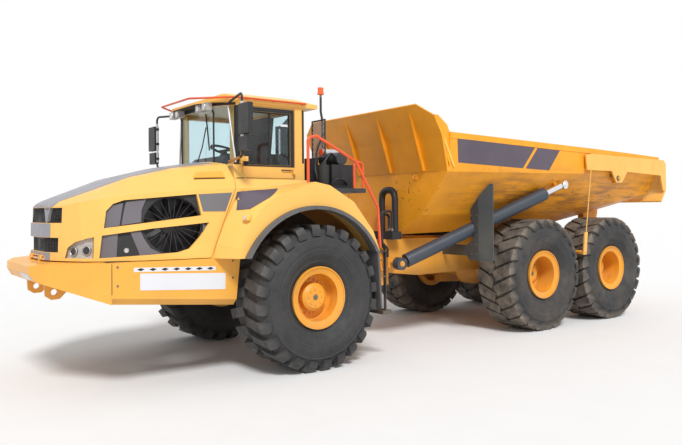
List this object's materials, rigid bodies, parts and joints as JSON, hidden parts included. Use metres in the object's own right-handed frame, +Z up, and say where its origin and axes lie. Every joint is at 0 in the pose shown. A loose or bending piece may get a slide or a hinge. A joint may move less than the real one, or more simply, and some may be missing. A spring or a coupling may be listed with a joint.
{
  "type": "articulated dump truck",
  "caption": "Articulated six-wheel-drive dump truck with a tilting cab-forward tractor, steering hinge, tipping body and lever-operated tailgate.",
  "frame": {"origin": "on the ground at the middle of the overall length and width", "axes": "+X forward, +Y to the left side, +Z up"},
  "size_m": [11.263, 3.484, 3.768],
  "materials": {
    "yellow_paint": "satin",
    "chassis_grey": "matte",
    "cast_iron": "matte",
    "dark_plastic": "matte",
    "glass": "clear",
    "rubber": "matte",
    "mirror": "polished",
    "fabric": "woven",
    "orange_paint": "satin",
    "lamp_plastic": "gloss",
    "dark_steel": "satin",
    "tyre": "matte",
    "chrome": "polished"
  },
  "bodies": {
    "tractor": {"beacon": "lamp_plastic", "bumper": "yellow_paint", "cab_glass": "glass", "cab_interior": "fabric", "cab_roof": "yellow_paint", "cab_shell": "yellow_paint", "cab_step": "dark_steel", "cooling_fan": "dark_plastic", "cowl": "yellow_paint", "deck": "dark_steel", "deck_boxes": "dark_plastic", "engine": "cast_iron", "exhaust": "dark_steel", "fenders": "yellow_paint", "flares": "rubber", "front_axle": "cast_iron", "front_frame": "chassis_grey", "handrails": "orange_paint", "mirror_arms": "dark_plastic", "mirror_glass": "mirror", "rear_screen": "dark_steel", "skirts": "yellow_paint", "work_lamps": "lamp_plastic"},
    "hitch": {"hitch": "yellow_paint"},
    "rear_module": {"rear_frame": "yellow_paint", "mudguards": "dark_steel", "bogie": "cast_iron", "lamp_posts": "yellow_paint", "hoses": "rubber", "tail_lamps": "lamp_plastic"},
    "dump_body": {"dump_body": "yellow_paint"},
    "tailgate": {"tailgate": "yellow_paint"},
    "tailgate_wires": {"tailgate_wires": "yellow_paint"},
    "hood": {"hood": "yellow_paint", "vent_panels": "dark_plastic", "headlamps": "glass", "grille": "dark_plastic"},
    "cab_door": {"cab_door": "yellow_paint", "door_glass": "glass"},
    "hoist_barrel_left": {"hoist_barrel_left": "dark_steel"},
    "hoist_rod_left": {"hoist_rod_left": "chrome"},
    "steer_barrel_left": {"steer_barrel_left": "dark_steel"},
    "steer_rod_left": {"steer_rod_left": "chrome"},
    "wheel_front_left": {"tyre_front_left": "tyre", "rim_front_left": "yellow_paint"},
    "wheel_middle_left": {"tyre_middle_left": "tyre", "rim_middle_left": "yellow_paint"},
    "wheel_rear_left": {"tyre_rear_left": "tyre", "rim_rear_left": "yellow_paint"},
    "hoist_barrel_right": {"hoist_barrel_right": "dark_steel"},
    "hoist_rod_right": {"hoist_rod_right": "chrome"},
    "steer_barrel_right": {"steer_barrel_right": "dark_steel"},
    "steer_rod_right": {"steer_rod_right": "chrome"},
    "wheel_front_right": {"tyre_front_right": "tyre", "rim_front_right": "yellow_paint"},
    "wheel_middle_right": {"tyre_middle_right": "tyre", "rim_middle_right": "yellow_paint"},
    "wheel_rear_right": {"tyre_rear_right": "tyre", "rim_rear_right": "yellow_paint"}
  },
  "joints": [
    {"name": "wheel_front_left_spin", "type": "hinge", "parent": "tractor", "child": "wheel_front_left", "pos_m": [2.5315, 1.318, 0.905], "axis": [0, 1, 0], "continuous": true},
    {"name": "wheel_front_right_spin", "type": "hinge", "parent": "tractor", "child": "wheel_front_right", "pos_m": [2.5315, -1.318, 0.905], "axis": [0, 1, 0], "continuous": true},
    {"name": "wheel_middle_left_spin", "type": "hinge", "parent": "rear_module", "child": "wheel_middle_left", "pos_m": [-1.9195, 1.318, 0.905], "axis": [0, 1, 0], "continuous": true},
    {"name": "wheel_middle_right_spin", "type": "hinge", "parent": "rear_module", "child": "wheel_middle_right", "pos_m": [-1.9195, -1.318, 0.905], "axis": [0, 1, 0], "continuous": true},
    {"name": "wheel_rear_left_spin", "type": "hinge", "parent": "rear_module", "child": "wheel_rear_left", "pos_m": [-3.8595, 1.318, 0.905], "axis": [0, 1, 0], "continuous": true},
    {"name": "wheel_rear_right_spin", "type": "hinge", "parent": "rear_module", "child": "wheel_rear_right", "pos_m": [-3.8595, -1.318, 0.905], "axis": [0, 1, 0], "continuous": true},
    {"name": "steering", "type": "hinge", "parent": "tractor", "child": "hitch", "pos_m": [1.2545, 0, 1.01], "axis": [0, 0, 1], "range_deg": [-45, 45]},
    {"name": "frame_roll", "type": "hinge", "parent": "hitch", "child": "rear_module", "pos_m": [0.7545, 0, 1.08], "axis": [1, 0, 0], "range_deg": [-12, 12]},
    {"name": "body_tip", "type": "hinge", "parent": "rear_module", "child": "dump_body", "pos_m": [-4.5485, 0, 1.35], "axis": [0, -1, 0], "range_deg": [0, 70]},
    {"name": "tailgate_pivot", "type": "hinge", "parent": "dump_body", "child": "tailgate", "pos_m": [-3.9985, 0, 2.52], "axis": [0, 1, 0], "range_deg": [0, 99]},
    {"name": "wire_pivot", "type": "hinge", "parent": "rear_module", "child": "tailgate_wires", "pos_m": [-2.8895, 0, 1.23], "axis": [0, -1, 0], "range_deg": [0, 58.1]},
    {"name": "hoist_barrel_pivot_left", "type": "hinge", "parent": "rear_module", "child": "hoist_barrel_left", "pos_m": [0.5565, 0.88, 1.175], "axis": [0.4148, 0.4855, 0.7696], "range_deg": [0, 6.56]},
    {"name": "hoist_rod_slide_left", "type": "slide", "parent": "hoist_barrel_left", "child": "hoist_rod_left", "axis": [-0.9098, 0.2085, 0.3589], "range_m": [0, 2.5941]},
    {"name": "steer_barrel_pivot_left", "type": "hinge", "parent": "tractor", "child": "steer_barrel_left", "pos_m": [2.2645, 0.76, 1.01], "axis": [0, 0, 1], "range_deg": [-1.33, 1.33]},
    {"name": "steer_rod_slide_left", "type": "slide", "parent": "steer_barrel_left", "child": "steer_rod_left", "axis": [-0.947, -0.3212, 0], "range_m": [-0.2881, 0.2881]},
    {"name": "hoist_barrel_pivot_right", "type": "hinge", "parent": "rear_module", "child": "hoist_barrel_right", "pos_m": [0.5565, -0.88, 1.175], "axis": [-0.4148, 0.4855, -0.7696], "range_deg": [0, 6.56]},
    {"name": "hoist_rod_slide_right", "type": "slide", "parent": "hoist_barrel_right", "child": "hoist_rod_right", "axis": [-0.9098, -0.2085, 0.3589], "range_m": [0, 2.5941]},
    {"name": "steer_barrel_pivot_right", "type": "hinge", "parent": "tractor", "child": "steer_barrel_right", "pos_m": [2.2645, -0.76, 1.01], "axis": [0, 0, 1], "range_deg": [-1.33, 1.33]},
    {"name": "steer_rod_slide_right", "type": "slide", "parent": "steer_barrel_right", "child": "steer_rod_right", "axis": [-0.947, 0.3212, 0], "range_m": [-0.2881, 0.2881]},
    {"name": "hood_tilt", "type": "hinge", "parent": "tractor", "child": "hood", "pos_m": [5.4115, 0, 1.482], "axis": [0, 1, 0], "range_deg": [0, 75]},
    {"name": "cab_door_swing", "type": "hinge", "parent": "tractor", "child": "cab_door", "pos_m": [3.2035, 0.878, 2.9], "axis": [0, 0, -1], "range_deg": [0, 80]}
  ],
  "couplings": [
    {"joint": "tailgate_pivot", "follows": "body_tip", "ratio": 1.4},
    {"joint": "wire_pivot", "follows": "body_tip", "ratio": 0.81514},
    {"joint": "hoist_barrel_pivot_left", "follows": "body_tip", "ratio": 0.08653},
    {"joint": "hoist_rod_slide_left", "follows": "body_tip", "m_per_rad": 2.1192},
    {"joint": "steer_barrel_pivot_left", "follows": "steering", "ratio": 0.01842},
    {"joint": "steer_rod_slide_left", "follows": "steering", "m_per_rad": 0.36427},
    {"joint": "hoist_barrel_pivot_right", "follows": "body_tip", "ratio": 0.08653},
    {"joint": "hoist_rod_slide_right", "follows": "body_tip", "m_per_rad": 2.1192},
    {"joint": "steer_barrel_pivot_right", "follows": "steering", "ratio": 0.01842},
    {"joint": "steer_rod_slide_right", "follows": "steering", "m_per_rad": -0.36427}
  ]
}
